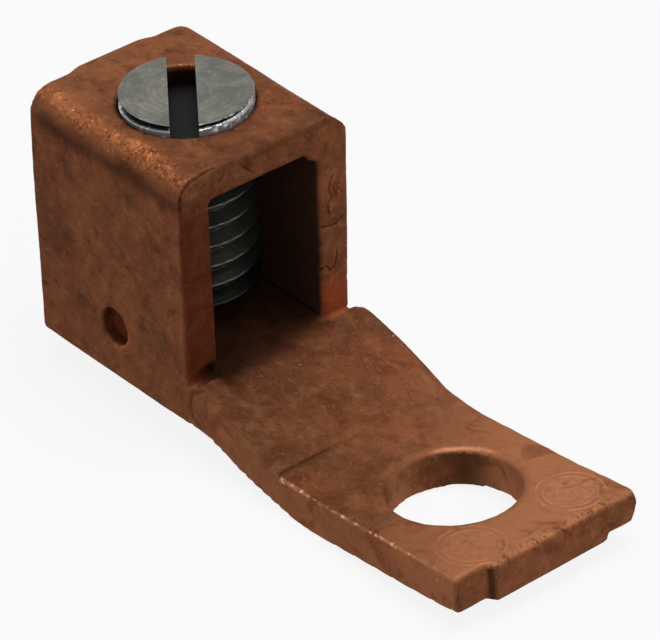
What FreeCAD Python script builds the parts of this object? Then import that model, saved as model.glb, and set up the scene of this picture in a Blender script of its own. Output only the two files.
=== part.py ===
import FreeCAD, Part
import math
import os

import Sketcher

# Mechanical lug: a copper body with a square barrel and an offset tongue, and a slotted clamp screw.
# Lengths are in millimetres, angles in degrees.
# The origin is the centre of the stud hole on the underside of the tongue's pad.
# +X runs to the tip of the tongue, +Y to the right of the barrel, +Z up.

# The driving sizes.
driving = {
    # the clamp screw and what it runs in
    "screwDiameter": 9.3,
    "boreClearance": 0.05,
    "barrelClearance": 0.095,
    "screwFromRear": 8.53,
    "screwProud": 0.87,
    "screwTipGap": 1.45,
    "screwTipChamfer": 0.45,
    "screwTopChamfer": 0.1,
    "slotWidth": 1.95,
    "slotDepth": 1.9,
    "slotAngle": -37.3,
    "slotOffset": 0.28,
    # the barrel
    "barrelDepth": 16.55,
    "openingHeight": 13.75,
    "sideWall": 2.4,
    "roofWall": 2.3,
    "floorWall": 3.25,
    "topEdgeRadius": 1.9,
    "rightLean": 0.24,
    "openingCornerRadius": 0.6,
    "edgeBreak": 0.2,
    # the drilled dimple low on the left wall
    "dimpleDiameter": 2.85,
    "dimpleDepth": 1.1,
    "dimpleFromRear": 8.45,
    "dimpleHeight": 4.05,
    "drillPointAngle": 118,
    # the tongue: its pad is pressed, so it is thinner than the barrel's floor and a little wider
    "padThickness": 2.7,
    "padWidth": 14.95,
    "padPitch": 5.4,
    "barrelShift": 0.4,
    "barrelRise": 1.42,
    "studToBarrel": 18.78,
    "studToTip": 9.07,
    "studHoleDiameter": 9.1,
    # the joggle between the barrel and the pad
    "rampTopStart": 1.2,
    "rampBottomStart": 1.55,
    "rampBottomEnd": 7.1,
    "creaseToStud": 9.2,
    "creaseRise": 0.5,
    "flatToStud": 6.0,
    "rampTopRadius": 2.0,
    "rampBottomRadius": 6.0,
    "heelRadius": 9.0,
    "creaseRadius": 1.4,
    "flatRadius": 12.0,
    # the shoulder that the pressing squeezed out past the barrel's right face
    "shoulderProud": 1.01,
    "shoulderLength": 5.4,
    "shoulderTaper": 4.6,
    "shoulderRadius": 0.8,
    # the tip: a tab left proud of a relief on the left and of a worn ear on the right
    "tabProud": 0.6,
    "tabLeft": 4.5,
    "tabRight": 5.1,
    "tabSlant": 0.45,
    "reliefRadius": 0.5,
    "earRise": 0.6,
    "earCornerRadius": 0.5,
    "padEdgeBreak": 0.3,
    "studRimRadius": 0.35,
}

# Room by which a cutting sketch passes the faces that it cuts.
overrun = 2.0

doc = FreeCAD.newDocument("MechanicalLug")
sheet = doc.addObject("Spreadsheet::Sheet", "Sizes")
for row, (name, value) in enumerate(driving.items(), start=1):
    sheet.set(f"A{row}", name)
    sheet.set(f"B{row}", str(value))
    sheet.setAlias(f"B{row}", name)
doc.recompute()

# Sizes that follow from the driving ones, as expressions on the sheet.
openingWidth = "(Sizes.screwDiameter + 2 * Sizes.barrelClearance)"
barrelWidth = f"({openingWidth} + 2 * Sizes.sideWall)"
barrelHeight = "(Sizes.floorWall + Sizes.openingHeight + Sizes.roofWall)"
barrelFront = "(-Sizes.studToBarrel)"
barrelRear = "(-Sizes.studToBarrel - Sizes.barrelDepth)"
leftFace = f"(-Sizes.barrelShift - {barrelWidth} / 2)"
rightFace = f"(-Sizes.barrelShift + {barrelWidth} / 2)"
floorTop = "(Sizes.barrelRise + Sizes.floorWall)"
roofTop = f"(Sizes.barrelRise + {barrelHeight})"
shoulderEdge = f"({rightFace} + Sizes.shoulderProud)"
tongueEdge = f"max({shoulderEdge}; Sizes.padWidth / 2)"
screwLength = (
    "(Sizes.roofWall + Sizes.openingHeight + Sizes.screwProud - Sizes.screwTipGap)"
)


def valueOf(expression):
    """The number that an expression on the sheet has now."""
    value = sheet.evalExpression(expression)
    return float(value.Value if hasattr(value, "Value") else value)


def padPoint(along, above):
    """A point of the pitched pad, along it from the stud hole and above its underside, as X and Z."""
    return (
        f"({along}) * cos(Sizes.padPitch * 1 deg) - ({above}) * sin(Sizes.padPitch * 1 deg)",
        f"({along}) * sin(Sizes.padPitch * 1 deg) + ({above}) * cos(Sizes.padPitch * 1 deg)",
    )


def newSketch(body, name, plane, offset=None, turnAxis=None, turn=None):
    """A sketch on an origin plane of its body, moved along the plane's normal and turned by expressions."""
    sketch = body.newObject("Sketcher::SketchObject", name)
    origin = next(item for item in body.Origin.OriginFeatures if item.Role == plane)
    sketch.AttachmentSupport = (origin, [""])
    sketch.MapMode = "FlatFace"
    if turnAxis is not None:
        sketch.AttachmentOffset = FreeCAD.Placement(
            FreeCAD.Vector(0, 0, 0), FreeCAD.Rotation(turnAxis, valueOf(turn))
        )
        sketch.setExpression("AttachmentOffset.Rotation.Angle", turn)
    if offset is not None:
        sketch.setExpression("AttachmentOffset.Base.z", offset)
    return sketch


def addOutline(sketch, corners):
    """A closed outline of straight lines, each corner held at two expressions from the sketch's origin."""
    places = [FreeCAD.Vector(valueOf(x), valueOf(y), 0) for x, y in corners]
    first = sketch.GeometryCount
    count = len(corners)
    for index in range(count):
        sketch.addGeometry(Part.LineSegment(places[index], places[(index + 1) % count]), False)
    for index, (x, y) in enumerate(corners):
        line = first + index
        sketch.addConstraint(
            Sketcher.Constraint("Coincident", line, 2, first + (index + 1) % count, 1)
        )
        across = sketch.addConstraint(Sketcher.Constraint("DistanceX", line, 1, places[index].x))
        sketch.setExpression(f"Constraints[{across}]", x)
        up = sketch.addConstraint(Sketcher.Constraint("DistanceY", line, 1, places[index].y))
        sketch.setExpression(f"Constraints[{up}]", y)


def addRing(sketch, x, y, diameter):
    """A circle whose centre and diameter are held at expressions."""
    centre = FreeCAD.Vector(valueOf(x), valueOf(y), 0)
    ring = sketch.addGeometry(
        Part.Circle(centre, FreeCAD.Vector(0, 0, 1), valueOf(diameter) / 2), False
    )
    for kind, expression in (("DistanceX", x), ("DistanceY", y)):
        held = sketch.addConstraint(Sketcher.Constraint(kind, ring, 3, valueOf(expression)))
        sketch.setExpression(f"Constraints[{held}]", expression)
    held = sketch.addConstraint(Sketcher.Constraint("Diameter", ring, valueOf(diameter)))
    sketch.setExpression(f"Constraints[{held}]", diameter)


def addPad(body, name, sketch, length):
    pad = body.newObject("PartDesign::Pad", name)
    pad.Profile = sketch
    pad.setExpression("Length", length)
    doc.recompute()
    return pad


def addPocket(body, name, sketch, length, reverse=False, bothWays=False):
    """A cut of a stated depth, which has to take some material away."""
    before = body.Shape.Volume
    pocket = body.newObject("PartDesign::Pocket", name)
    pocket.Profile = sketch
    pocket.Reversed = reverse
    pocket.Midplane = bothWays
    pocket.setExpression("Length", length)
    doc.recompute()
    if not body.Shape.Volume < before:
        raise RuntimeError(f"{name} cuts nothing")
    return pocket


def addFillet(body, name, radius, wanted):
    """Round every edge of the body whose box passes the test."""
    base = body.Tip
    edges = [f"Edge{n}" for n, edge in enumerate(base.Shape.Edges, start=1) if wanted(edge)]
    if not edges:
        raise RuntimeError(f"{name} finds no edge")
    fillet = body.newObject("PartDesign::Fillet", name)
    fillet.Base = (base, edges)
    fillet.setExpression("Radius", radius)
    doc.recompute()
    if not fillet.isValid():
        raise RuntimeError(f"{name} failed")
    return fillet


# How close two coordinates are when they count as one place.
near = 0.02


def runsAlong(edge, direction):
    """Whether an edge is a straight line along a direction."""
    if not isinstance(edge.Curve, Part.Line):
        return False
    return abs(abs(edge.Curve.Direction.dot(direction)) - 1) < 1e-6


def isAt(edge, x=None, y=None, z=None):
    """Whether the middle of an edge's box is at the stated coordinates."""
    centre = edge.BoundBox.Center
    return all(
        wanted is None or abs(found - wanted) < near
        for found, wanted in ((centre.x, x), (centre.y, y), (centre.z, z))
    )


def facing(body, edge):
    """The outward normals of the two faces beside an edge, at its middle."""
    middle = edge.valueAt((edge.FirstParameter + edge.LastParameter) / 2)
    faces = body.Tip.Shape.ancestorsOfType(edge, Part.Face)
    return [face.normalAt(*face.Surface.parameter(middle)) for face in faces]


def isSharp(body, edge):
    """Whether the two faces beside an edge meet at an angle, and not smoothly."""
    normals = facing(body, edge)
    return len(normals) == 2 and normals[0].getAngle(normals[1]) > math.radians(30)


alongX = FreeCAD.Vector(1, 0, 0)
alongY = FreeCAD.Vector(0, 1, 0)
alongZ = FreeCAD.Vector(0, 0, 1)


# The copper body.
lug = doc.addObject("PartDesign::Body", "LugBody")
lug.Label = "lug_body"

# The barrel's section, with the opening for the conductor, runs from the rear to the front.
section = newSketch(lug, "BarrelSection", "YZ_Plane", offset=barrelRear)
addOutline(
    section,
    [
        (leftFace, "Sizes.barrelRise"),
        (rightFace, "Sizes.barrelRise"),
        (f"{rightFace} + Sizes.rightLean", roofTop),
        (leftFace, roofTop),
    ],
)
openingLeft = f"{leftFace} + Sizes.sideWall"
openingRight = f"{rightFace} - Sizes.sideWall"
openingTop = f"{roofTop} - Sizes.roofWall"
addOutline(
    section,
    [
        (openingLeft, floorTop),
        (openingRight, floorTop),
        (openingRight, openingTop),
        (openingLeft, openingTop),
    ],
)
addPad(lug, "Barrel", section, "Sizes.barrelDepth")

addFillet(
    lug,
    "RoundedTopEdges",
    "Sizes.topEdgeRadius",
    lambda edge: runsAlong(edge, alongX)
    and isAt(edge, z=valueOf(roofTop)),
)
addFillet(
    lug,
    "OpeningCorners",
    "Sizes.openingCornerRadius",
    lambda edge: runsAlong(edge, alongX)
    and (
        isAt(edge, y=valueOf(openingLeft), z=valueOf(floorTop))
        or isAt(edge, y=valueOf(openingRight), z=valueOf(floorTop))
        or isAt(edge, y=valueOf(openingLeft), z=valueOf(openingTop))
        or isAt(edge, y=valueOf(openingRight), z=valueOf(openingTop))
    ),
)

# The sawn ends of the barrel have their edges broken, the outer ones and the opening's.
addFillet(
    lug,
    "SawnEnds",
    "Sizes.edgeBreak",
    lambda edge: edge.BoundBox.XLength < near,
)

# The tongue's side profile: level for a short way, down the ramp, then the pitched pad.
# It starts behind the broken edges of the barrel's front, so that the floor runs on without a groove.
tongueRoot = f"({barrelFront} - Sizes.edgeBreak)"
rampTop = (f"{barrelFront} + Sizes.rampTopStart", floorTop)
rampFoot = (f"{barrelFront} + Sizes.rampBottomStart", "Sizes.barrelRise")
heel = padPoint("-Sizes.rampBottomEnd", "0")
crease = padPoint("-Sizes.creaseToStud", "Sizes.padThickness + Sizes.creaseRise")
flatStart = padPoint("-Sizes.flatToStud", "Sizes.padThickness")
profile = newSketch(lug, "TongueProfile", "XZ_Plane", offset=f"-{tongueEdge}")
addOutline(
    profile,
    [
        (tongueRoot, "Sizes.barrelRise"),
        rampFoot,
        heel,
        padPoint("Sizes.studToTip", "0"),
        padPoint("Sizes.studToTip", "Sizes.padThickness"),
        flatStart,
        crease,
        rampTop,
        (tongueRoot, floorTop),
    ],
)
addPad(lug, "Tongue", profile, f"Sizes.padWidth / 2 + {tongueEdge}")


def acrossTongue(place):
    """A test for the edge that crosses the tongue at a corner of its side profile."""
    x, z = valueOf(place[0]), valueOf(place[1])
    return lambda edge: runsAlong(edge, alongY) and isAt(edge, x=x, z=z)


addFillet(lug, "RampTopBend", "Sizes.rampTopRadius", acrossTongue(rampTop))
addFillet(lug, "RampFootBend", "Sizes.rampBottomRadius", acrossTongue(rampFoot))
addFillet(lug, "HeelBend", "Sizes.heelRadius", acrossTongue(heel))
addFillet(lug, "PressedCrease", "Sizes.creaseRadius", acrossTongue(crease))
addFillet(lug, "PadBend", "Sizes.flatRadius", acrossTongue(flatStart))

# The right edge of the tongue bulges at the shoulder and tapers to the pad's width.
taperStart = f"{barrelFront} + Sizes.shoulderLength"
taperEnd = f"{taperStart} + Sizes.shoulderTaper"
pastTip = f"Sizes.studToTip + {overrun}"
pastRight = f"({tongueEdge} + {overrun})"
pastRoot = f"{tongueRoot} - {overrun}"
rightEdge = newSketch(lug, "RightEdge", "XY_Plane", offset=f"-{overrun}")
addOutline(
    rightEdge,
    [
        (pastRoot, shoulderEdge),
        (taperStart, shoulderEdge),
        (taperEnd, "Sizes.padWidth / 2"),
        (pastTip, "Sizes.padWidth / 2"),
        (pastTip, pastRight),
        (pastRoot, pastRight),
    ],
)
addPocket(lug, "ShoulderTaper", rightEdge, f"{floorTop} + 2 * {overrun}", reverse=True)

# The tip: a relief cut square to the pad, left of the tab.
pitch = "-Sizes.padPitch"
throughPad = f"2 * (Sizes.padThickness + {overrun})"
tip = newSketch(lug, "TipRelief", "XY_Plane", turnAxis=alongY, turn=pitch)
reliefEnd = "Sizes.studToTip - Sizes.tabProud"
pastLeft = f"-Sizes.padWidth / 2 - {overrun}"
addOutline(
    tip,
    [
        (reliefEnd, pastLeft),
        (reliefEnd, "-Sizes.tabLeft - Sizes.tabSlant"),
        ("Sizes.studToTip", "-Sizes.tabLeft"),
        (pastTip, "-Sizes.tabLeft"),
        (pastTip, pastLeft),
    ],
)
addPocket(lug, "TabRelief", tip, throughPad, bothWays=True)

# Right of the tab the lower edge of the tip is worn back to a bevel, which leaves an ear.
bevel = newSketch(lug, "EarBevel", "XZ_Plane", offset="-Sizes.tabRight")
pastUnder = f"-{overrun}"
addOutline(
    bevel,
    [
        padPoint(reliefEnd, "0"),
        padPoint("Sizes.studToTip", "Sizes.earRise"),
        padPoint(pastTip, "Sizes.earRise"),
        padPoint(pastTip, pastUnder),
        padPoint(reliefEnd, pastUnder),
    ],
)
addPocket(lug, "WornEar", bevel, f"{pastRight} - Sizes.tabRight")

# The stud hole, square to the pad.
stud = newSketch(lug, "StudHoleRing", "XY_Plane", turnAxis=alongY, turn=pitch)
addRing(stud, "0", "0", "Sizes.studHoleDiameter")
addPocket(lug, "StudHole", stud, throughPad, bothWays=True)

# Worn corners and edges of the tongue.
addFillet(
    lug,
    "ShoulderCorner",
    "Sizes.shoulderRadius",
    lambda edge: runsAlong(edge, alongZ)
    and isAt(edge, x=valueOf(tongueRoot), y=valueOf(shoulderEdge)),
)


def crossesPad(edge):
    """Whether an edge runs from the underside of the pad, or from the bevel, up to its top."""
    return edge.BoundBox.ZLength > valueOf("Sizes.padThickness - Sizes.earRise") - near


addFillet(
    lug,
    "EarCorner",
    "Sizes.earCornerRadius",
    lambda edge: crossesPad(edge)
    and edge.BoundBox.Center.x > valueOf(reliefEnd)
    and isAt(edge, y=valueOf("Sizes.padWidth / 2")),
)
addFillet(
    lug,
    "ReliefCorner",
    "Sizes.reliefRadius",
    lambda edge: crossesPad(edge)
    and isAt(edge, y=valueOf("-Sizes.tabLeft - Sizes.tabSlant")),
)


def isStudRim(edge):
    """Whether an edge is one of the two rims of the stud hole."""
    reach = valueOf("Sizes.studHoleDiameter") / 2 + near
    return not isinstance(edge.Curve, Part.Line) and (
        edge.BoundBox.YMax < reach and edge.BoundBox.YLength > reach
    )


def isUpperStudRim(edge):
    """Whether an edge is the rim of the stud hole on the top of the pad."""
    return isStudRim(edge) and edge.BoundBox.Center.z > valueOf("Sizes.padThickness") / 2


def isUpperTongueEdge(edge):
    """Whether an edge ahead of the barrel bounds the top of the tongue, the stud hole's rim left out."""
    if edge.BoundBox.XMin < valueOf(barrelFront) + near or isStudRim(edge):
        return False
    return isSharp(lug, edge) and max(normal.z for normal in facing(lug, edge)) > 0.5


addFillet(lug, "UpperTongueEdges", "Sizes.padEdgeBreak", isUpperTongueEdge)
addFillet(lug, "WornStudRim", "Sizes.studRimRadius", isUpperStudRim)

# The screw's hole goes through the roof and past the rounded corners of the opening.
screwX = f"({barrelRear} + Sizes.screwFromRear)"
screwY = "(-Sizes.barrelShift)"
bore = newSketch(lug, "ScrewHoleRing", "XY_Plane", offset=roofTop)
addRing(bore, screwX, screwY, "Sizes.screwDiameter + 2 * Sizes.boreClearance")
addPocket(lug, "ScrewHole", bore, "Sizes.roofWall + Sizes.openingCornerRadius")

# The drilled dimple, blind, in the left wall.
dimple = newSketch(lug, "DimpleRing", "XZ_Plane", offset=f"-{leftFace}")
addRing(
    dimple,
    f"{barrelRear} + Sizes.dimpleFromRear",
    "Sizes.barrelRise + Sizes.dimpleHeight",
    "Sizes.dimpleDiameter",
)
doc.recompute()
before = lug.Shape.Volume
drilled = lug.newObject("PartDesign::Hole", "Dimple")
drilled.Profile = dimple
drilled.DepthType = "Dimension"
drilled.DrillPoint = "Angled"
drilled.setExpression("Diameter", "Sizes.dimpleDiameter")
drilled.setExpression("Depth", "Sizes.dimpleDepth")
drilled.setExpression("DrillPointAngle", "Sizes.drillPointAngle")
doc.recompute()
if not lug.Shape.Volume < before:
    raise RuntimeError("Dimple cuts nothing")


# The clamp screw, headless and slotted, with its own origin at the middle of its tip.
screw = doc.addObject("PartDesign::Body", "ClampScrew")
screw.Label = "clamp_screw"
screw.setExpression("Placement.Base.x", screwX)
screw.setExpression("Placement.Base.y", screwY)
screw.setExpression("Placement.Base.z", f"{floorTop} + Sizes.screwTipGap")

radius = "Sizes.screwDiameter / 2"
halfSection = newSketch(screw, "ScrewSection", "XZ_Plane")
addOutline(
    halfSection,
    [
        ("0", "0"),
        (f"{radius} - Sizes.screwTipChamfer", "0"),
        (radius, "Sizes.screwTipChamfer"),
        (radius, f"{screwLength} - Sizes.screwTopChamfer"),
        (f"{radius} - Sizes.screwTopChamfer", screwLength),
        ("0", screwLength),
    ],
)
turned = screw.newObject("PartDesign::Revolution", "Shank")
turned.Profile = halfSection
turned.ReferenceAxis = (halfSection, ["V_Axis"])
turned.Angle = 360
doc.recompute()

slot = newSketch(
    screw,
    "SlotOutline",
    "XY_Plane",
    offset=screwLength,
    turnAxis=alongZ,
    turn="Sizes.slotAngle",
)
slotReach = f"({radius} + {overrun})"
addOutline(
    slot,
    [
        (f"-{slotReach}", "-Sizes.slotOffset - Sizes.slotWidth / 2"),
        (slotReach, "-Sizes.slotOffset - Sizes.slotWidth / 2"),
        (slotReach, "-Sizes.slotOffset + Sizes.slotWidth / 2"),
        (f"-{slotReach}", "-Sizes.slotOffset + Sizes.slotWidth / 2"),
    ],
)
addPocket(screw, "Slot", slot, "Sizes.slotDepth")

doc.recompute()

for item in doc.Objects:
    if "Invalid" in item.State or "Error" in item.State:
        raise RuntimeError(f"{item.Name} failed: {item.State}")

pieces = [lug, screw]
for piece in pieces:
    if piece.Shape.isNull() or not piece.Shape.isValid():
        raise RuntimeError(f"{piece.Label} has no valid shape")

os.makedirs("parts", exist_ok=True)
for piece in pieces:
    piece.Shape.exportStep(f"parts/{piece.Label}.step")
    box = piece.Shape.BoundBox
    print(
        piece.Label,
        len(piece.Shape.Solids),
        round(piece.Shape.Volume, 2),
        [round(v, 3) for v in (box.XMin, box.YMin, box.ZMin, box.XMax, box.YMax, box.ZMax)],
    )
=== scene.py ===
import math

import bpy
import numpy as np
from mathutils import Matrix, Vector


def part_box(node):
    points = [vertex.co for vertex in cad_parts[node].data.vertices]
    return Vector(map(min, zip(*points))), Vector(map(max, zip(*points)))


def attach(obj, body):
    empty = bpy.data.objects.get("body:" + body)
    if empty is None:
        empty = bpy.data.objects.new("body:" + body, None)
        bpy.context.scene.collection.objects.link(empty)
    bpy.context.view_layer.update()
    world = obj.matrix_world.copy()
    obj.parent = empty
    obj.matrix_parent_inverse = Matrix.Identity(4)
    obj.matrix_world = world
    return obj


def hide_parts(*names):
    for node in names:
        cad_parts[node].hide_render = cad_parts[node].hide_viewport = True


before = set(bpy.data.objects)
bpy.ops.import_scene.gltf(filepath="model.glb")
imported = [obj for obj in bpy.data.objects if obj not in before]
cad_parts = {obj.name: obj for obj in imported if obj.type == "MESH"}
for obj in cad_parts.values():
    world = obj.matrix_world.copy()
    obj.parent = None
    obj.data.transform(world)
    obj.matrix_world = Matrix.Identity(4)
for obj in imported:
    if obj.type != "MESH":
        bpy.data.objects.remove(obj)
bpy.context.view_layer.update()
print("frame loaded")

mm = 0.001


# Small tools for meshes

def readPoints(mesh):
    points = np.empty(len(mesh.vertices) * 3)
    mesh.vertices.foreach_get("co", points)
    return points.reshape(-1, 3)


def writePoints(mesh, points):
    mesh.vertices.foreach_set("co", points.ravel())
    mesh.update()


def vertexNormals(mesh):
    normals = np.empty(len(mesh.vertices) * 3)
    mesh.vertex_normals.foreach_get("vector", normals)
    return normals.reshape(-1, 3)


def ramp(value, low, high):
    # 0 below low, 1 above high, an S between them: 3t squared minus 2t cubed
    t = np.clip((value - low) / (high - low), 0, 1)
    return t * t * (3 - 2 * t)


def between(value, low, high, soft):
    # 1 from low to high and 0 outside: the ramp up at low times what the ramp at high leaves
    return ramp(value, low - soft, low + soft) * (1 - ramp(value, high - soft, high + soft))


def bell(value, middle, width):
    # 1 in the middle, falling off to both sides: e to the minus square of the distance in widths
    return np.exp(-(((value - middle) / width) ** 2))


def lumps(points, size, seed):
    # random numbers on the corners of a cube grid, blended smoothly inside each cube, from -1 to 1
    table = np.random.default_rng(seed).uniform(-1, 1, 4096)
    primes = np.array([73856093, 19349663, 83492791])
    scaled = points / size + 100
    cell = np.floor(scaled).astype(np.int64)
    t = scaled - cell
    t = t * t * (3 - 2 * t)
    total = np.zeros(len(points))
    for step in np.ndindex(2, 2, 2):
        key = np.bitwise_xor.reduce((cell + step) * primes, axis=1)
        nearness = np.abs(1 - np.array(step) - t)
        total += table[key & 4095] * nearness.prod(axis=1)
    return total


def offLine(first, second, corners):
    # the distance of points (first, second) in a plane to a line through the corners, minus on its right
    nearest = np.full(len(first), 1e9)
    for (ax, ay), (bx, by) in zip(corners[:-1], corners[1:]):
        dx, dy = bx - ax, by - ay
        t = np.clip(((first - ax) * dx + (second - ay) * dy) / (dx * dx + dy * dy), 0, 1)
        side = np.where((second - ay) * dx - (first - ax) * dy < 0, -1, 1)
        off = side * np.hypot(first - ax - t * dx, second - ay - t * dy)
        nearest = np.where(np.abs(off) < np.abs(nearest), off, nearest)
    return nearest


def paintPoints(mesh, name, values):
    layer = mesh.attributes.new(name, "FLOAT", "POINT")
    layer.data.foreach_set("value", np.clip(values, 0, 1).astype(np.float32))


def smoothFaces(mesh):
    mesh.polygons.foreach_set("use_smooth", np.ones(len(mesh.polygons), dtype=bool))
    mesh.update()


def addObject(name, data):
    made = bpy.data.objects.new(name, data)
    bpy.context.scene.collection.objects.link(made)
    return made


# Small tools for materials

class Field:
    # wraps a socket, so that shader maths reads as plain expressions
    def __init__(self, shader, socket):
        self.shader = shader
        self.socket = socket

    def maths(self, operation, first, second):
        return self.shader.node("ShaderNodeMath", {"operation": operation}, {0: first, 1: second})

    def __add__(self, other):
        return self.maths("ADD", self, other)

    __radd__ = __add__

    def __mul__(self, other):
        return self.maths("MULTIPLY", self, other)

    __rmul__ = __mul__

    def __sub__(self, other):
        return self.maths("SUBTRACT", self, other)

    def __rsub__(self, other):
        return self.maths("SUBTRACT", other, self)

    def __truediv__(self, other):
        return self.maths("DIVIDE", self, other)

    def __pow__(self, other):
        return self.maths("POWER", self, other)

    def most(self, other):
        return self.maths("MAXIMUM", self, other)

    def rises(self, low, high):
        # 0 below low, 1 above high, smooth between
        inputs = {"Value": self, "From Min": low, "From Max": high}
        return self.shader.node("ShaderNodeMapRange", {"interpolation_type": "SMOOTHSTEP"}, inputs)


class Shader:
    # the nodes of a material or of the world
    def __init__(self, owner):
        owner.use_nodes = True
        self.owner = owner
        self.tree = owner.node_tree
        self.tree.nodes.clear()

    def node(self, kind, settings=None, inputs=None, output=0):
        made = self.tree.nodes.new(kind)
        for key, value in (settings or {}).items():
            setattr(made, key, value)
        for key, value in (inputs or {}).items():
            if isinstance(value, Field):
                self.tree.links.new(value.socket, made.inputs[key])
            else:
                made.inputs[key].default_value = value
        return Field(self, made.outputs[output]) if made.outputs else made

    def place(self, stretch=(1, 1, 1)):
        # Object coordinates in millimetres, each axis times its stretch
        here = self.node("ShaderNodeTexCoord", output="Object")
        factors = tuple(s / mm for s in stretch)
        return self.node("ShaderNodeMapping", None, {"Vector": here, "Scale": factors})

    def split(self, vector):
        return [self.node("ShaderNodeSeparateXYZ", None, {0: vector}, index) for index in range(3)]

    def noise(self, where, size, detail=4.0, rough=0.55, warp=0.0):
        inputs = {"Vector": where, "Scale": 1 / size, "Detail": detail, "Roughness": rough}
        inputs["Distortion"] = warp
        return self.node("ShaderNodeTexNoise", None, inputs)

    def painted(self, name):
        return self.node("ShaderNodeAttribute", {"attribute_name": name}, None, "Fac")

    def mix(self, factor, first, second):
        inputs = {0: factor, 6: self.colour(first), 7: self.colour(second)}
        return self.node("ShaderNodeMix", {"data_type": "RGBA"}, inputs, 2)

    def colour(self, value):
        return value if isinstance(value, Field) else (*value, 1)

    def layers(self, base, colours, coats):
        # each coat is a mask and the name of the colour that it lays over the coats before it
        for mask, name in coats:
            base = self.mix(mask, base, colours[name])
        return base

    def bump(self, height, strength, distance):
        inputs = {"Height": height, "Strength": strength, "Distance": distance * mm}
        return self.node("ShaderNodeBump", None, inputs)

    def whiteRays(self):
        # 1 for the rays that see the background as white: those of the camera and those off metal
        cameraRay = self.node("ShaderNodeLightPath", output="Is Camera Ray")
        glossyRay = self.node("ShaderNodeLightPath", output="Is Glossy Ray")
        return cameraRay.most(glossyRay)

    def finish(self, inputs):
        surface = self.node("ShaderNodeBsdfPrincipled", None, inputs)
        self.node("ShaderNodeOutputMaterial", None, {"Surface": surface})
        return self.owner


def fromScreen(look):
    # sRGB colours, 0 to 255, as the linear ones that sockets take
    def linear(c):
        return c / 12.92 if c <= 0.04045 else ((c + 0.055) / 1.055) ** 2.4
    return {name: tuple(linear(part / 255) for part in colour) for name, colour in look.items()}


# Where things are, in mm: x to the tip, y to the right wall, z up.
# along and above are measured from the stud hole, in and square to the pitched pad.

padAlong = np.array([0.99556, 0.0, 0.09411])
studAxis = np.array([-0.09411, 0.0, 0.99556])
screwAxis = (-26.8, -0.4)  # x, y
dimpleCentre = (-26.88, 5.47)  # x, z
barrelFront = -18.4  # just past the front face: the barrel lies behind it
belowFloor = 4.2  # just under the top of the barrel's floor
belowRoof = 20.2  # just under the top of the roof
creaseAlong = -9.2  # where the ramp meets the pad


# The copper body: the CAD solid as one fine even skin, which is then worn, dented, darkened, and painted
# with light and shade.

copperBody = {
    "voxel": 0.18,  # size of the skin's faces
    "softening": 2,  # rounds of smoothing that wear the edges down
    "waves": 0.026,  # height of the broad waves
    "grit": 0.01,  # height of the fine ones
    "pits": 0.035,  # depth of the small pits
    "dents": {  # how far each mark sinks the surface, or raises it with a minus
        "hollow": 0.09,
        "crease": 0.05,
        "root": 0.16,
        "crack": 0.05,
        "sawCut": 0.12,
        "tongue": -0.09,
        "heel": -0.1,
        "rootFoot": 0.12,
        "rightArc": 0.22,
    },
    "shadeAndGrime": {  # how dark each mark is painted: as painted shade in the hollow, by the relief, in the root's press line, round the screw and in the stud hole; as stains with painted shade; and as darker lines on the front edge and the crease
        "hollow": 0.7,
        "relief": 1.2,
        "root": 0.6,
        "screwRimShade": 0.6,
        "holeShade": 0.9,
        "stainsAndShade": 0.35,
        "frontEdge": 0.45,
        "crease": 0.3,
    },
    "rearTrim": 0.17,  # how far the sawn rear is set in from its bulge
    "ringRadii": [2.32, 1.86],  # the two stamped double rings on the pad
    "rings": [(6.15, 4.68, 1.0), (6.26, -4.14, 0.45)],  # along, y, how plain to see
    "nearEdge": (-7.53, 2.76),  # y and above of the bright line on the near edge
    "studRim": 4.83,  # radius of the painted highlight behind the stud hole
}

frontLines = [  # y, z: the dark line round the front's top left corner, then the cracks
    [(-7.5, 18.6), (-7.38, 19.78), (-6.98, 20.2), (-6.3, 20.55), (-5.4, 20.72), (-4.4, 20.75)],
    [(5.5, 15.9), (5.2, 14.94), (5.5, 14.27), (5.05, 13.7), (5.2, 13.1)],
    [(4.5, 12.2), (5.2, 12.04), (5.9, 12.0), (6.3, 12.3)],
    [(4.3, 8.7), (4.8, 8.98), (5.2, 8.4), (5.65, 8.66), (5.8, 9.7)],
    [(-2.1, 19.85), (-1.55, 19.3)],
    [(-4.25, 19.55), (-3.9, 19.85)],
]
rootCurve = [  # x, z: the press line where the tongue leaves the barrel
    (-17.8, 4.75), (-18.4, 4.4), (-18.66, 3.9), (-18.78, 2.95), (-18.56, 2.2), (-17.9, 1.8),
]
wallBlots = [  # x, z, size, how dark: stains on the left wall
    (-30.9, 15.9, 0.75, 1.0),
    (-31.7, 10.8, 0.9, 1.0),
    (-24.5, 16.8, 0.5, 0.7),
    (-29.0, 8.2, 0.6, 0.6),
]


def makeCopperSkin():
    # the CAD solid's faces merged, laid over again with even ones, and softened
    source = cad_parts["lug_body"]
    skin = addObject("copper_body", source.data.copy())
    skin.data.materials.clear()
    merge = skin.modifiers.new("merge", "WELD")
    merge.merge_threshold = 1e-6
    remesh = skin.modifiers.new("remesh", "REMESH")
    remesh.mode = "VOXEL"
    remesh.voxel_size = copperBody["voxel"] * mm
    soften = skin.modifiers.new("soften", "SMOOTH")
    soften.factor = 0.5
    soften.iterations = copperBody["softening"]
    graph = bpy.context.evaluated_depsgraph_get()
    mesh = bpy.data.meshes.new_from_object(skin.evaluated_get(graph))
    skin.modifiers.clear()
    skin.data = mesh
    mesh.name = "copper_body"
    return skin


# How strongly each mark is felt at each point, 0 to 1: bells and ramps across it times its reach

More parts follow.
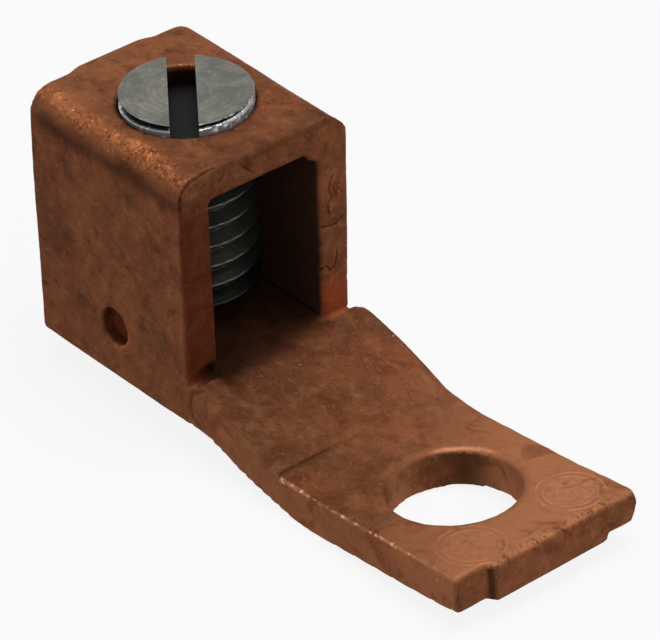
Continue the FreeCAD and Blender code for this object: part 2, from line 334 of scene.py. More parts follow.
def edgeMarks(points):
    x, y, z = points.T
    along, above = points @ padAlong, points @ studAxis
    marks = {}

    # the scuffed strip on the rounded top left edge, with the hollow under it, which is painted dark as
    # shade
    wander = 0.22 * lumps(points * [1, 0, 0], 2.2, 10)
    marks["strip"] = bell(y, -6.62 + wander, 0.62) * ramp(z, 19.5, 20.0) * (1 - ramp(x, -19.35, -19.1))
    hollow = bell(z, 18.75 + wander, 0.62) * ramp(-y, 7.0, 7.3)
    marks["hollow"] = hollow * (x < barrelFront) * between(x, -34.3, -19.0, 0.8)

    # knocked edges of the tongue: the near top one and the one at the tip, and painted shadow in the corner
    # of the relief
    nearEdge = bell(y, -7.4, 0.17) * bell(above, 2.62, 0.16)
    marks["nearEdge"] = nearEdge * between(along, creaseAlong, 8.4, 0.3)
    marks["tipEdge"] = bell(above, 2.6, 0.28) * ramp(along, 8.3, 8.7) * between(y, -6.8, 6.6, 0.3)
    marks["relief"] = bell(y, -4.72, 0.2) * ramp(along, 8.35, 8.5) * (above < 2.4)

    # pressed marks: the crease, and the press line at the tongue's root, which is painted dark as shade in
    # its groove
    creaseReach = ramp(above, 2.6, 3.0) * ramp(-y, -3.2, 1.5) * (0.35 + 0.65 * ramp(-y, 2.0, 5.0))
    marks["crease"] = bell(along, creaseAlong, 0.3) * creaseReach
    root = offLine(x, z, rootCurve)
    marks["root"] = bell(root, 0, 0.15) * ramp(-y, 6.9, 7.2) * ramp(x, -19.0, -18.85)
    return marks


def frontMarks(points, normals):
    x, y, z = points.T
    nx = normals[:, 0]
    front = (x > -19.1) & (x < barrelFront) & (z > belowFloor)
    rough = lumps(points, 0.9, 8)
    marks = {}

    # cracks in the front and the dark line round its corner
    crack = np.full(len(points), 9.0)
    for corners in frontLines:
        off = offLine(y, z, corners)
        crack = np.where(np.abs(off) < np.abs(crack), off, crack)
    marks["crackSide"] = 0.5 + crack
    marks["crack"] = bell(crack, 0, 0.25) * ramp(x, -19.2, -19.05) * (x < barrelFront) * (z > belowFloor)
    frontEdge = ramp(x, -19.2, -19.0) * (x < barrelFront) * bell(y, -7.48, 0.14)
    marks["frontEdge"] = frontEdge * between(z, 5.0, 18.6, 0.5)

    # the saw cut at the left wall's foot, also painted black as shade, the burr in the opening's corner and
    # the left wall's inner edge
    cutTop = 5.3 + 0.6 * bell(y, -5.9, 0.9) + 0.1 * rough
    cut = (1 - ramp(z, cutTop - 0.4, cutTop + 0.05)) * front * between(y, -7.1, -4.7, 0.3)
    marks["sawCut"] = cut * ramp(y, -7.6, -5.4)
    marks["burr"] = bell(np.hypot(y - 4.1, z - 18.25), 0, 0.6) * ramp(x, -19.9, -19.2) * (x < -18.3)
    lip = between(y, -5.5, -4.5, 0.2) * ramp(x, -20.8, -19.2) * (x < -18.3) * between(z, 4.7, 17.6, 0.3)
    marks["leftLip"] = lip * (1 - 0.6 * ramp(z, 7.0, 14.0))

    # the left wall's front painted dark and reddish as shade with reflected light, a painted reflection
    # glowing at the right wall's foot, and a darker lintel and upper left front
    redWallShade = front * between(y, -7.5, -4.9, 0.15) * (1 - ramp(z, 17.6, 18.8))
    marks["redWallShade"] = redWallShade * ramp(nx, 0.3, 0.6)
    marks["reflectedGlow"] = front * bell(y, 5.4, 1.1) * bell(z, 6.0, 1.9) * ramp(nx, 0.4, 0.8)
    lintel = front * (z > 18.6) * between(y, -5.2, 4.4, 0.6)
    marks["lintel"] = lintel + 0.8 * front * (y < -4.6) * between(z, 12.0, 19.5, 1.5)
    return marks


def holeMarks(points):
    x, y, z = points.T
    along, above = points @ padAlong, points @ studAxis
    marks = {}

    # the drilled dimple, painted dark red as shade within, and a painted highlight on the lower, forward
    # side of its rim
    dimpleX, dimpleZ = x - dimpleCentre[0], z - dimpleCentre[1]
    fromDimple = np.hypot(dimpleX, dimpleZ)
    marks["dimple"] = (1 - ramp(fromDimple, 1.36, 1.5)) * (y < -6) * ramp(y, -7.56, -7.44)
    lowSide = (dimpleX * 0.8 - dimpleZ * 0.6) / np.maximum(fromDimple, 0.01)
    marks["dimpleRim"] = bell(fromDimple, 1.5, 0.09) * ramp(lowSide, 0.35, 0.9) * (y < -7.2)

    # the screw's hole: painted shade within it and round its rim, and rubbed behind the slot
    screwX, screwY = x - screwAxis[0], y - screwAxis[1]
    fromScrew = np.hypot(screwX, screwY)
    behind = ramp(-screwX * 0.79 + screwY * 0.61, 4.2, 4.6)
    marks["screwRimShade"] = bell(fromScrew, 4.8, 0.16) * (z > belowRoof) * (1 - behind)
    marks["slotLip"] = 0.35 * bell(fromScrew, 4.8, 0.16) * (z > 20.5) * behind
    marks["screwHoleShade"] = (fromScrew < 4.9) * (1 - ramp(z, belowRoof, 20.5)) * (z > 18)

    # the stud hole's wall, by the direction seen from its middle: one stretch of painted shade and two of
    # painted light
    towards = np.degrees(np.arctan2(y, along)) % 360
    wall = (np.hypot(along, y) < 4.8) * (above < 2.5) * (above > -0.1)
    marks["holeShade"] = wall * bell(towards, 129, 20)
    marks["holeLight"] = wall * (bell(towards, 200, 24) + bell(towards, 78, 22))
    return marks


def toneMarks(points, normals, marks):
    x, y, z = points.T
    nx, ny, nz = normals.T
    along, above = points @ padAlong, points @ studAxis
    tones = {"pad": ramp(above, 2.45, 2.6) * (along > 0)}

    # painted shade within the barrel and on its floor
    fromMiddle = y - screwAxis[1]
    depth = -x - 0.16 * fromMiddle
    tones["shadedFloor"] = ramp(depth, 16.6, 19.2) * (z < 5.2) * between(y, -5.4, 4.8, 0.3) * (z > 4)
    opening = (np.abs(fromMiddle) < 5.1) * (z > 5.0) * (z < 18.8)
    tones["insideShade"] = opening * ramp(-x, 18.9, 19.1) * (x > -34.6)

    # a paler tone towards the tip, with painted light on upward faces, on the tongue's side, on the lit
    # stretches of the stud hole and on the rear of the roof
    tongueSideLight = ramp(-ny, 0.5, 0.8) * ramp(x, -17.6, -16.5)
    litFacing = 0.06 + 0.24 * (1 - ramp(nx, 0.5, 0.8)) + 0.7 * ramp(nz, 0.2, 0.8)
    rearRoofLight = 0.22 * (z > belowRoof) * ramp(-x, 24.0, 33.0)
    pale = ramp(along + 0.75 * y, -9.8, 7.4) * litFacing + 0.4 * tongueSideLight
    tones["pale"] = pale + 0.9 * marks["holeLight"] + rearRoofLight

    # stains on the left wall, painted shade on the ramp, and darkening on the lintel, the roof's front, the
    # tab, the tip's corner and the left wall's rear
    leftWall = np.full(len(points), 0.12)
    for blotX, blotZ, size, strength in wallBlots:
        leftWall += strength * bell(np.hypot(x - blotX, z - blotZ), 0, size)
    frontRoof = 0.4 * (z > belowRoof) * ramp(x, -22.5, -19.5)
    slopeShade = between(along, -17.2, -9.4, 0.8) * (1 - 0.5 * ramp(y, 1.0, 7.0))
    slopeShade = 0.75 * slopeShade + 0.5 * between(along, -9.4, -4.5, 1.0) * ramp(-y, -1.0, 3.0)
    tab = (y < -4.8) * ramp(along, 8.35, 8.5)
    tipCorner = ramp(-y, 7.15, 7.4) * ramp(along, 8.1, 8.4) * (1 - ramp(above, 2.2, 2.6))
    rearEnd = 0.45 * (y < -7) * ramp(-x, 29.5, 34.0)
    stainsAndShade = leftWall * (y < -7) * (x < -19) + 0.7 * marks["lintel"] + frontRoof
    stainsAndShade += slopeShade * ramp(nz, 0.3, 0.7) * (z < 5.5) + 0.35 * tab + 1.4 * tipCorner + rearEnd
    tones["stainsAndShade"] = stainsAndShade
    return tones


def shapeMarks(points, normals):
    # where the shape departs a little from the CAD solid
    x, y, z = points.T
    nx, ny, nz = normals.T
    along, above = points @ padAlong, points @ studAxis
    fromStud = np.hypot(along, y)
    underTip = ramp(along, 6.0, 8.4) * ramp(np.abs(y), 4.6, 5.2) * ramp(-nz, 0.2, 0.6)
    offHole = 1 - ramp(above, 1.6, 2.2) * (fromStud < 5.0)
    rightArc = ramp(ny, 0.15, 0.5) * ramp(nz, 0.15, 0.5)
    return {
        "tongue": ramp(x, -18.2, -14.5) * offHole * (1 - underTip),
        "hole": (1 - ramp(fromStud, 4.7, 5.6)) * (x > -8),
        "heel": bell(x, -11.5, 4.2) * ramp(-nz, 0.3, 0.8),
        "rootFoot": between(x, -20.5, -14.5, 1.2) * ramp(-nz, 0.3, 0.8) * (z < 3),
        "rightArc": rightArc * (x < barrelFront) * ramp(x, -35.0, -19.0),
    }


def bodyMarks(points, normals):
    marks = edgeMarks(points) | frontMarks(points, normals) | holeMarks(points)
    return marks | toneMarks(points, normals, marks) | shapeMarks(points, normals)


def wearCopper(skin):
    # moves each point along its normal: broad waves, grit, small pits, and the marks of use
    mesh = skin.data
    points = readPoints(mesh) / mm
    normals = vertexNormals(mesh)
    marks = bodyMarks(points, normals)
    fine = lumps(points, 0.45, 9)
    rough = lumps(points, 0.9, 8)

    move = copperBody["waves"] * (0.6 * lumps(points, 3.1, 1) + 0.4 * lumps(points, 1.3, 2))
    move += copperBody["grit"] * lumps(points, 0.4, 3)
    move -= copperBody["pits"] * ramp(lumps(points, 0.6, 4), 0.5, 0.95)
    move += marks["strip"] * (0.06 * rough + 0.05 * fine)
    move -= marks["nearEdge"] * 0.04 * (1 + fine)
    move -= marks["tipEdge"] * (0.04 + 0.1 * ramp(fine, -0.2, 0.7))
    for name, depth in copperBody["dents"].items():
        move -= marks[name] * depth
    points += normals * move[:, None]

    # the rear is sawn a little out of true: only the middle of its roof edge reaches the full length
    x, y, z = points.T
    bulge = between(y, -3.4, 2.6, 0.9) * ramp(z, 12.0, 19.0)
    leftTop = ramp(-y, 6.0, 7.4) * between(z, 10.0, 18.5, 3.0) * 0.7
    trim = copperBody["rearTrim"] * ramp(-x, 33.4, 35.2) * (1 - np.maximum(bulge, leftTop))
    roofCorner = bulge * ramp(z, 20.1, 20.5) * ramp(-x, 34.7, 35.1)

    # the right wall leans out a little, and the tip's right corner is hammered out into a lobe
    along, above = points @ padAlong, points @ studAxis
    lean = between(z, 11.0, 19.0, 2.0) * ramp(y, 7.1, 7.4) * (x < barrelFront)
    bulged = 0.25 + 0.75 * ramp(above, 0.4, 1.7) - 0.6 * ramp(above, 1.9, 2.7) * ramp(y, 6.6, 7.6)
    lobe = ramp(along, 5.8, 8.7) * ramp(y, 5.0, 7.4) * bulged
    spread = ramp(along, 3.5, 7.5) * ramp(y, 5.0, 7.4) * ramp(above, 0.4, 1.7)
    points[:, 0] += trim - 0.15 * roofCorner + 0.3 * lobe - 0.06 * marks["hole"]
    points[:, 1] += 0.18 * spread + 0.08 * lobe + 0.1 * lean - 0.08 * marks["hole"]
    points[:, 1] += 0.2 * marks["leftLip"] - 0.5 * marks["burr"]
    points[:, 2] += 0.15 * roofCorner - 0.4 * marks["burr"]

    # nothing leaves the box of the CAD solid
    low, high = (np.array(corner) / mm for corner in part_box("lug_body"))
    points = np.clip(points, low, high)
    writePoints(mesh, points * mm)
    smoothFaces(mesh)
    return points, marks


def paintCopper(skin, points, marks):
    # where the copper is dark with oxide and painted shade, where it is rubbed bright and painted with
    # highlights, and where its tone and painted light change
    mesh = skin.data
    worn = 0.45 + 0.55 * ramp(lumps(points, 0.9, 8), -0.3, 0.7)
    # rubbed copper on the strip and behind the slot, and a painted highlight on the dimple's rim
    rubbedAndHighlit = np.maximum(marks["strip"] * worn, np.maximum(marks["dimpleRim"], marks["slotLip"]))
    paintPoints(mesh, "rubbedAndHighlit", rubbedAndHighlit)
    # oxide and painted shade, weighted mark by mark
    shadeAndGrime = sum(strength * marks[name] for name, strength in copperBody["shadeAndGrime"].items())
    paintPoints(mesh, "shadeAndGrime", shadeAndGrime)
    tones = ["pale", "pad", "insideShade", "screwHoleShade", "shadedFloor", "redWallShade", "reflectedGlow"]
    for name in tones + ["dimple", "sawCut", "crack", "crackSide", "crease", "tipEdge"]:
        paintPoints(mesh, name, marks[name])


copperLook = {
    "brown": (130, 78, 50),
    "dull": (108, 67, 44),
    "light": (160, 106, 72),
    # the tip's paler tone, which also lays painted light
    "tip": (178, 118, 82),
    # oxide, also laid as painted shade
    "oxideAndShade": (44, 24, 16),
    # a reddish tint, also laid as painted shade on the left front and in the dimple
    "redTintAndShade": (86, 36, 20),
    # a painted reflection glowing at the right wall's foot
    "reflectedGlow": (176, 78, 40),
    "stamped": (190, 128, 96),
    # rubbed copper, also laid as a painted highlight on the dimple's rim
    "rubbedAndHighlit": (204, 122, 74),
    # painted glints
    "glint": (244, 196, 156),
    # painted glints in the strip and the painted highlight on the stud hole's rim
    "orangeHighlight": (236, 162, 116),
    # painted shade within the barrel
    "insideShade": (62, 46, 40),
    "black": (12, 6, 4),
    "edge": (190, 130, 96),
}


def stampedRings(shader, along, y, worn):
    # two worn plain double rings on the pad: where the distance from a ring's centre is near its radii
    line, inner = 0.0, 0.0
    for ringAlong, ringAcross, strength in copperBody["rings"]:
        u, v = along - ringAlong, y - ringAcross
        reach = (u * u + v * v) ** 0.5
        for radius in copperBody["ringRadii"]:
            off = reach - radius
            line = line + (off * off).rises(0.02, 0.003) * strength
        inner = inner + reach.rises(1.9, 1.6) * strength
    return line * worn * shader.painted("pad"), inner * shader.painted("pad")


def darkLines(shader, along, wander):
    # the cracks and the crease, finer than the skin's faces: where a squared distance is small
    side = shader.painted("crackSide") - 0.5 + wander * 0.2
    crackReach = shader.painted("crack").rises(0.2, 0.6) * (0.85 + wander)
    fold = along - creaseAlong + wander * 0.2
    creaseReach = shader.painted("crease").rises(0.1, 0.8) * (0.5 + wander)
    return ((side * side).rises(0.011, 0.0) * crackReach).most((fold * fold).rises(0.01, 0.0) * creaseReach)


def brightLines(along, above, y, wander):
    # the bright line on the near edge, and a painted highlight on the far side of the stud hole's rim:
    # where a squared distance is small
    edgeY, edgeAbove = copperBody["nearEdge"]
    sideways = y - edgeY
    upwards = above - edgeAbove - along.rises(-3.0, -9.0) * 0.13
    length = along.rises(-9.6, -9.0) * along.rises(8.4, 5.0)
    edge = (sideways * sideways + upwards * upwards + wander * 0.06).rises(0.05, 0.015) * length
    reach = (along * along + y * y) ** 0.5
    lip = reach - copperBody["studRim"]
    farSide = ((y * 0.77 - along * 0.64) / reach).rises(0.84, 0.98) * above.rises(2.4, 2.5)
    return edge, (lip * lip + wander * 0.02).rises(0.04, 0.0) * farSide


def makeCopperLook():
    shader = Shader(bpy.data.materials.new("oxidised copper"))
    colour = fromScreen(copperLook)
    here = shader.place()
    x, y, z = shader.split(here)
    along = x * padAlong[0] + z * padAlong[2]
    above = x * studAxis[0] + z * studAxis[2]
    onTongue = x.rises(-19.5, -17.0)
    pale = shader.painted("pale")
    clouds = shader.noise(here, 4.0, 5, 0.6, 0.5)
    mottle = shader.noise(here, 1.1, 6, 0.62, 0.3)
    specks = shader.noise(here, 0.42, 2, 0.5)
    scuffs = shader.noise(here, 0.33, 5, 0.7)
    wander = shader.noise(here, 0.7, 3, 0.6) - 0.5

    # the tones: dull and paler metal, the paler part carrying painted light, streaks, patches of oxide,
    # grain, and painted glints
    streaks = shader.noise(shader.place((2.2, 0.22, 2.2)), 0.7, 5, 0.6).rises(0.5, 0.7)
    patches = (1 - mottle).rises(0.52, 0.7) * (1 - onTongue * 0.45)
    reddened = shader.noise(here, 2.2, 4, 0.5, 0.8).rises(0.5, 0.68)
    grain = shader.noise(here, 0.25, 4, 0.6).rises(0.58, 0.7)
    base = shader.mix(clouds.rises(0.36, 0.66), colour["dull"], colour["brown"])
    base = shader.layers(base, colour, [
        # paler towards the tip, with painted light on upward faces and lit stretches
        (pale * 0.75, "tip"),
        (mottle.rises(0.48, 0.7) * 0.4, "light"),
        (streaks * pale * 0.3, "light"),
        (patches * (0.52 - pale * 0.3), "oxideAndShade"),
        (reddened * (0.3 + onTongue * 0.16), "redTintAndShade"),
        (grain * (0.5 - pale * 0.3), "oxideAndShade"),
        (specks.rises(0.62, 0.72) * 0.4, "light"),
        (shader.noise(here, 0.17, 3, 0.7).rises(0.58, 0.68) * 0.3, "light"),
        # painted glints
        (shader.noise(here, 0.3, 2, 0.5).rises(0.74, 0.79) * 0.5, "glint"),
    ])

    # the marks: the stamped rings, stains and painted shade, painted reflections and highlights, the
    # knocked and rubbed edges, and thin lines
    ring, stamped = stampedRings(shader, along, y, shader.noise(here, 1.6, 4, 0.6).rises(0.38, 0.54))
    dark = darkLines(shader, along, wander)
    bright, rim = brightLines(along, above, y, wander)
    # the rubbed copper, and the painted highlight on the dimple's rim
    worn = shader.painted("rubbedAndHighlit")
    rubbedAndHighlit = worn * scuffs.rises(0.38, 0.56)
    chips = shader.painted("tipEdge") * shader.noise(here, 0.36, 3, 0.6).rises(0.48, 0.62)
    shade = (shader.painted("shadedFloor") * 0.8).most(shader.painted("sawCut") * 0.9)
    base = shader.layers(base, colour, [
        (ring * 0.6, "stamped"),
        (stamped * specks.rises(0.38, 0.62) * 0.5, "stamped"),
        # the left wall's front painted dark and reddish as shade with reflected light
        (shader.painted("redWallShade") * (mottle.rises(0.3, 0.62) * 0.5 + 0.4), "redTintAndShade"),
        # a painted reflection glowing at the right wall's foot
        (shader.painted("reflectedGlow") * 0.6, "reflectedGlow"),
        # painted shade in the dimple
        (shader.painted("dimple") * 0.7, "redTintAndShade"),
        # oxide and painted shade in the marks, and stains
        (shader.painted("shadeAndGrime") * 0.85, "oxideAndShade"),
        (chips * 0.62, "oxideAndShade"),
        (worn * shader.noise(here, 0.45, 4, 0.7).rises(0.47, 0.6) * 0.6, "oxideAndShade"),
        # rubbed copper, with a painted highlight on the dimple's rim
        (rubbedAndHighlit * 0.7, "rubbedAndHighlit"),
        # painted glints in the rubbed strip
        (worn * shader.noise(here, 0.3, 3, 0.6).rises(0.54, 0.68) * 0.8, "orangeHighlight"),
        # a painted highlight on the stud hole's far rim
        (rim * (0.45 + wander), "orangeHighlight"),
        (bright * scuffs.rises(0.36, 0.52) * 0.7, "stamped"),
        # painted glints on the near edge
        (bright * specks.rises(0.54, 0.64) * 0.7, "glint"),
        (dark * 0.72, "black"),
        # painted shade within the barrel's opening
        (shader.painted("insideShade") * 0.8, "insideShade"),
        # painted shade on the barrel's floor, in the saw cut and in the screw's hole
        (shade.most(shader.painted("screwHoleShade") * 0.8), "black"),
    ])

    height = shader.noise(here, 0.8, 6, 0.65) * 0.6 + shader.noise(here, 0.18, 4, 0.6) * 0.4
    height = height + ring * 0.6 + stamped * shader.noise(here, 0.5, 2, 0.5) * 0.3 - dark * 0.6
    return shader.finish({
        "Base Color": base,
        "Roughness": 0.6 - 0.18 * rubbedAndHighlit + 0.14 * (mottle - 0.5),
        "Metallic": 0.5,
        "Specular IOR Level": 0.1,
        "Specular Tint": (*colour["edge"], 1),
        "Normal": shader.bump(height, 0.6, 0.15),
    })


body = makeCopperSkin()
print("copper skin made:", len(body.data.polygons), "faces")
paintCopper(body, *wearCopper(body))
body.data.materials.append(makeCopperLook())
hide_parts("lug_body")
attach(body, "lug")
print("copper body finished")


# The clamp screw: one closed skin with a helical thread, through whose top the driver slot is cut.

clampScrew = {
    "tip": 6.12,  # height of the tip
    "top": 21.59,  # height of the faced top
    "crest": 4.65,  # radius over the thread
    "root": 3.75,  # radius in the groove
    "pitch": 1.5875,
    "phase": 14.88,  # height of a crest at crestAngle
    "crestAngle": -22.0,
    "disc": 0.15,  # thickness of the faced disc over the first groove
    "discGroove": 0.75,  # depth of that groove
    "collarFrom": 20.3,  # above this height the thread runs out
    "tipChamfer": 0.45,
    "bevel": (0.2, 0.45),  # how far in and how far down the rim is bevelled right of the slot
    "bevelArc": (-30, 45),  # degrees
    "knocks": 0.1,  # depth of the knocks in that rim
    "slotWidth": 1.95,
    "slotDepth": 1.9,
    "slotAngle": -37.3,
    "slotOffset": -0.28,
    "columns": 260,  # round the screw
    "threadRows": 270,  # from the tip up to the collar
    "collarRows": 90,  # from there to the top, finer for the groove and the rim
}


def turnedDegrees(angle):
    # from radians to degrees between -180 and 180
    return (np.degrees(angle) + 180) % 360 - 180


def screwRadius(angle, height):
    # crest radius less the groove: a rounded wave along height minus pitch times the turn
    s = clampScrew
    degrees = turnedDegrees(angle)
    turn = (degrees - s["crestAngle"]) / 360
    wave = np.abs(((height - s["phase"]) / s["pitch"] - turn + 0.5) % 1 - 0.5) * 2
    thread = s["crest"] - (s["crest"] - s["root"]) * np.clip((wave - 0.07) / 0.8, 0, 1)

    # above the roof the thread runs out as a collar, with one narrow groove under the thin faced disc
    climb = s["phase"] + s["pitch"] * (4 + turn)
    under = s["top"] - s["disc"]
    groove = ramp(height, climb - 0.12, climb + 0.14) * (1 - ramp(height, under - 0.08, under + 0.02))
    collar = s["crest"] - s["discGroove"] * groove * ramp(degrees, -180, -140)
    blend = ramp(height, s["collarFrom"], s["collarFrom"] + 0.2)
    radius = thread * (1 - blend) + collar * blend

    # the rim is bevelled right of the slot, the tip is chamfered and the top's edge is broken
    bevelIn, bevelDown = s["bevel"]
    risen = np.clip((height - s["top"] + bevelDown) / bevelDown, 0, 1)
    radius = radius - bevelIn * between(degrees, *s["bevelArc"], 12) * risen
    radius = np.minimum(radius, s["crest"] - s["tipChamfer"] + (height - s["tip"]))
    return np.minimum(radius, s["crest"] - 0.05 + (s["top"] - height) * 0.8)


def makeScrew():
    # a grid of rows and columns round the axis at screwRadius, with a fan of triangles over each end
    s = clampScrew
    count = s["columns"]
    threadHeights = np.linspace(s["tip"], s["collarFrom"], s["threadRows"], endpoint=False)
    collarHeights = np.linspace(s["collarFrom"], s["top"], s["collarRows"])
    angle = np.linspace(0, 2 * np.pi, count, endpoint=False)
    a, h = np.meshgrid(angle, np.concatenate([threadHeights, collarHeights]))
    r = screwRadius(a, h)

    # the rim is knocked in lumps, most of all right of the slot, and the skin is a little uneven
    crest = np.stack([np.cos(a) * s["crest"], np.sin(a) * s["crest"], h], axis=2).reshape(-1, 3)
    knocked = ramp(lumps(crest, 0.4, 21), 0.1, 0.7).reshape(r.shape)
    nearTop = ramp(h, s["top"] - 0.9, s["top"] - 0.5)
    rightOfSlot = between(turnedDegrees(a), *s["bevelArc"], 12) * nearTop
    uneven = lumps(crest, 0.7, 22).reshape(r.shape) - 1
    r = r - s["knocks"] * knocked * (0.2 + rightOfSlot) + 0.012 * uneven
    side = np.stack([r * np.cos(a), r * np.sin(a), h], axis=2).reshape(-1, 3)

    rows = len(side) // count
    i = np.arange(rows - 1)[:, None] * count
    j = np.arange(count)[None, :]
    k = (j + 1) % count
    quads = np.stack([i + j, i + k, i + count + k, i + count + j], axis=2).reshape(-1, 4)
    centre = len(side)
    first = np.arange(count)
    last = (rows - 1) * count + first
    low = np.stack([np.roll(first, -1), first, np.full(count, centre)], axis=1)
    high = np.stack([last, np.roll(last, -1), np.full(count, centre + 1)], axis=1)
    points = np.vstack([side, [[0, 0, s["tip"]], [0, 0, s["top"]]]]) + (*screwAxis, 0)
    mesh = bpy.data.meshes.new("set_screw")
    mesh.from_pydata((points * mm).tolist(), [], quads.tolist() + low.tolist() + high.tolist())
    return addObject("set_screw", mesh)


def cutSlot(screw):
    # the driver slot is a box taken away at its angle, a little off the axis
    s = clampScrew
    half, reach = s["slotWidth"] / 2, 8.0
    heights = (s["top"] - s["slotDepth"], s["top"] + 2)
    corners = np.array([(u, v, w) for w in heights for v in (-half, half) for u in (-reach, reach)])
    u, v = corners[:, 0], corners[:, 1] + s["slotOffset"]
    turn = math.radians(s["slotAngle"])
    spunX = u * math.cos(turn) - v * math.sin(turn) + screwAxis[0]
    spunY = u * math.sin(turn) + v * math.cos(turn) + screwAxis[1]
    spun = np.stack([spunX, spunY, corners[:, 2]], axis=1)
    faces = [(0, 2, 3, 1), (4, 5, 7, 6), (0, 1, 5, 4), (2, 6, 7, 3), (0, 4, 6, 2), (1, 3, 7, 5)]
    mesh = bpy.data.meshes.new("slot_tool")
    mesh.from_pydata((spun * mm).tolist(), [], faces)
    tool = addObject("slot_tool", mesh)
    cut = screw.modifiers.new("slot", "BOOLEAN")
    cut.operation = "DIFFERENCE"
    cut.solver = "EXACT"
    cut.object = tool
    graph = bpy.context.evaluated_depsgraph_get()
    made = bpy.data.meshes.new_from_object(screw.evaluated_get(graph))
    screw.modifiers.clear()
    screw.data = made
    bpy.data.objects.remove(tool)
    return screw


screwLook = {
    "face": (127, 125, 115),
    "dull": (98, 98, 92),
    "collar": (160, 166, 166),
    # painted glints on the collar's nicks
    "bright": (232, 232, 227),
    # the thread's flank and crest: painted shade and painted highlight
    "flank": (56, 56, 52),
    "crest": (98, 94, 87),
    # near black: painted shade in the slot and down the thread, and the face's turning marks
    "slot": (5, 5, 6),
}


def makeScrewLook():
    s = clampScrew
    shader = Shader(bpy.data.materials.new("zinc plated steel"))
    colour = fromScreen(screwLook)
    here = shader.place()
    x, y, z = shader.split(here)
    u, v = x - screwAxis[0], y - screwAxis[1]
    radius = (u * u + v * v) ** 0.5
    clouds = shader.noise(here, 1.6, 5, 0.6, 0.4)
    patches = shader.noise(here, 0.5, 5, 0.65)
    onFace = z.rises(s["top"] - 0.09, s["top"] - 0.04)

    # the faced top has turning marks: the sine of the radius, shifted a little by noise
    turned = radius * 13.0 + shader.noise(here, 1.5, 2) * 4.0
    rings = shader.node("ShaderNodeMath", {"operation": "SINE"}, {0: turned})
    face = shader.mix(clouds.rises(0.35, 0.68), colour["dull"], colour["face"])
    face = shader.layers(face, colour, [
        (rings.rises(0.3, 1.0) * 0.2 * clouds.rises(0.35, 0.6), "slot"),
        (patches.rises(0.56, 0.68) * 0.3, "collar"),
    ])

    # painted shade: the thread is dark, darker downwards, with painted highlights on its crests that fade
    # to the right and downwards, under a bright knocked collar with painted glints on its nicks
    seen = ((u * 0.342 - v * 0.94) / radius).rises(-0.05, 0.35) * z.rises(6.0, 9.5)
    nicks = shader.noise(here, 0.4, 4, 0.6).rises(0.54, 0.62) * radius.rises(4.2, 4.5)
    onCollar = z.rises(s["top"] - 1.5, s["top"] - 1.1)
    thread = shader.mix(z.rises(6.0, 10.8), colour["slot"], colour["flank"])
    thread = shader.layers(thread, colour, [
        (radius.rises(4.55, 4.61) * seen, "crest"),
        (onCollar * radius.rises(4.4, 4.56), "collar"),
        (onCollar * nicks * 0.85, "bright"),
    ])

    # the slot is painted dark within as shade: near its middle line and between its floor and the top
    turn = math.radians(s["slotAngle"])
    across = v * math.cos(turn) - u * math.sin(turn) - s["slotOffset"]
    half = s["slotWidth"] / 2
    slotFloor = s["top"] - s["slotDepth"]
    inHeight = z.rises(slotFloor - 0.08, slotFloor - 0.02) * (1 - z.rises(s["top"] - 0.1, s["top"] - 0.03))
    inSlot = (across * across).rises((half + 0.03) ** 2, (half - 0.02) ** 2) * inHeight
    base = shader.mix(onFace, thread, face)
    return shader.finish({
        "Base Color": shader.mix(inSlot, base, colour["slot"]),
        "Roughness": 0.42,
        "Metallic": 0.7,
        "Specular IOR Level": 0.1,
        "Normal": shader.bump(rings * 0.2 * onFace + patches, 0.25, 0.05),
    })


screw = cutSlot(makeScrew())
screw.data.materials.append(makeScrewLook())
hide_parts("clamp_screw")
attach(screw, "screw")
print("clamp screw finished:", len(screw.data.polygons), "faces")


# The floor, which shows white to the camera and keeps the soft shadow, and the light.

studio = {
    "floorHeight": -0.62,  # mm, under the lowest point of the body
    "floorSize": 900.0,
    "paper": (0.8, 0.8, 0.8, 1),
    "white": 0.87,  # how much of the floor's look is plain white
    "fill": 0.245,  # light from all round
    "aim": (-12, 0, 8),  # where the lamps point
}

lamps = {
    "over": {"from": (10, 30, 300), "size": 200, "power": 0.51},
    "front": {"from": (260, 30, 190), "size": 160, "power": 0.145},
    "left": {"from": (-40, -280, 170), "size": 160, "power": 0.085},
}

plainWhite = {"Color": (1, 1, 1, 1), "Strength": 1.0}


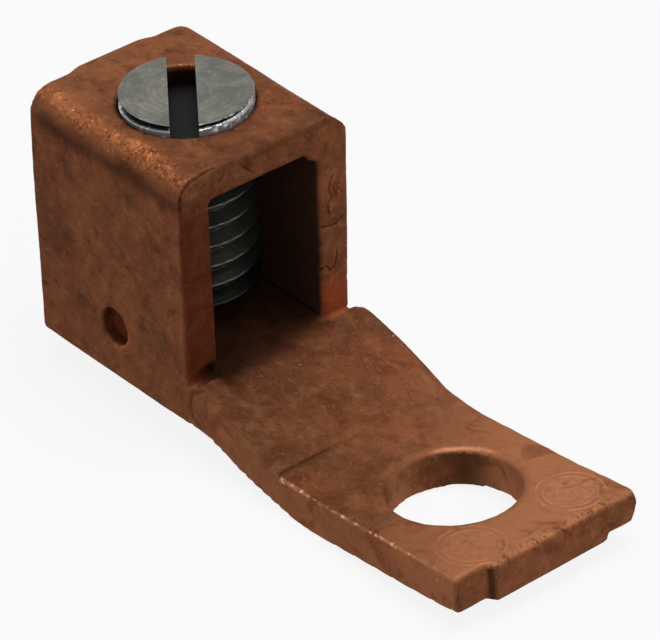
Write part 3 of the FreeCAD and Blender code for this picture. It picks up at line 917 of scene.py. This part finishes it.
def makeFloor():
    half = studio["floorSize"] / 2
    z = studio["floorHeight"]
    corners = [(-half, -half, z), (half, -half, z), (half, half, z), (-half, half, z)]
    mesh = bpy.data.meshes.new("floor")
    mesh.from_pydata([tuple(c * mm for c in corner) for corner in corners], [], [(0, 1, 2, 3)])
    floor = addObject("floor", mesh)
    shader = Shader(bpy.data.materials.new("pale floor"))
    paper = shader.node("ShaderNodeBsdfDiffuse", None, {"Color": studio["paper"]})
    white = shader.node("ShaderNodeEmission", None, plainWhite)
    factor = shader.whiteRays() * studio["white"]
    both = shader.node("ShaderNodeMixShader", None, {0: factor, 1: paper, 2: white})
    shader.node("ShaderNodeOutputMaterial", None, {"Surface": both})
    mesh.materials.append(shader.owner)


def makeWorld():
    world = bpy.data.worlds.new("studio")
    bpy.context.scene.world = world
    shader = Shader(world)
    fill = shader.node("ShaderNodeBackground", None, plainWhite | {"Strength": studio["fill"]})
    white = shader.node("ShaderNodeBackground", None, plainWhite)
    both = shader.node("ShaderNodeMixShader", None, {0: shader.whiteRays(), 1: fill, 2: white})
    shader.node("ShaderNodeOutputWorld", None, {"Surface": both})


def makeLamps():
    aim = Vector(studio["aim"]) * mm
    for name, lamp in lamps.items():
        light = bpy.data.lights.new(name, "AREA")
        light.shape = "DISK"
        light.size = lamp["size"] * mm
        light.energy = lamp["power"]
        holder = addObject(name, light)
        holder.location = Vector(lamp["from"]) * mm
        holder.rotation_mode = "QUATERNION"
        holder.rotation_quaternion = (aim - holder.location).to_track_quat("-Z", "Y")


# The camera stands where the photographer stood.

camera = {
    "eye": (186.62, -165.38, 184.04),  # mm
    "right": (0.64896, 0.76053, -0.02062),
    "up": (-0.41373, 0.37552, 0.82934),
    "back": (0.63849, -0.52968, 0.55836),
    "lens": 254.6,
    "sensor": 36.0,
}


def makeCamera():
    data = bpy.data.cameras.new("camera")
    data.sensor_width = camera["sensor"]
    data.lens = camera["lens"]
    data.clip_start = 0.01
    data.clip_end = 10.0
    holder = addObject("camera", data)
    turn = Matrix((camera["right"], camera["up"], camera["back"])).transposed()
    holder.matrix_world = Matrix.Translation(Vector(camera["eye"]) * mm) @ turn.to_4x4()
    bpy.context.scene.camera = holder


makeFloor()
makeWorld()
makeLamps()
makeCamera()
bpy.context.scene.view_settings.view_transform = "Standard"
print("studio ready")
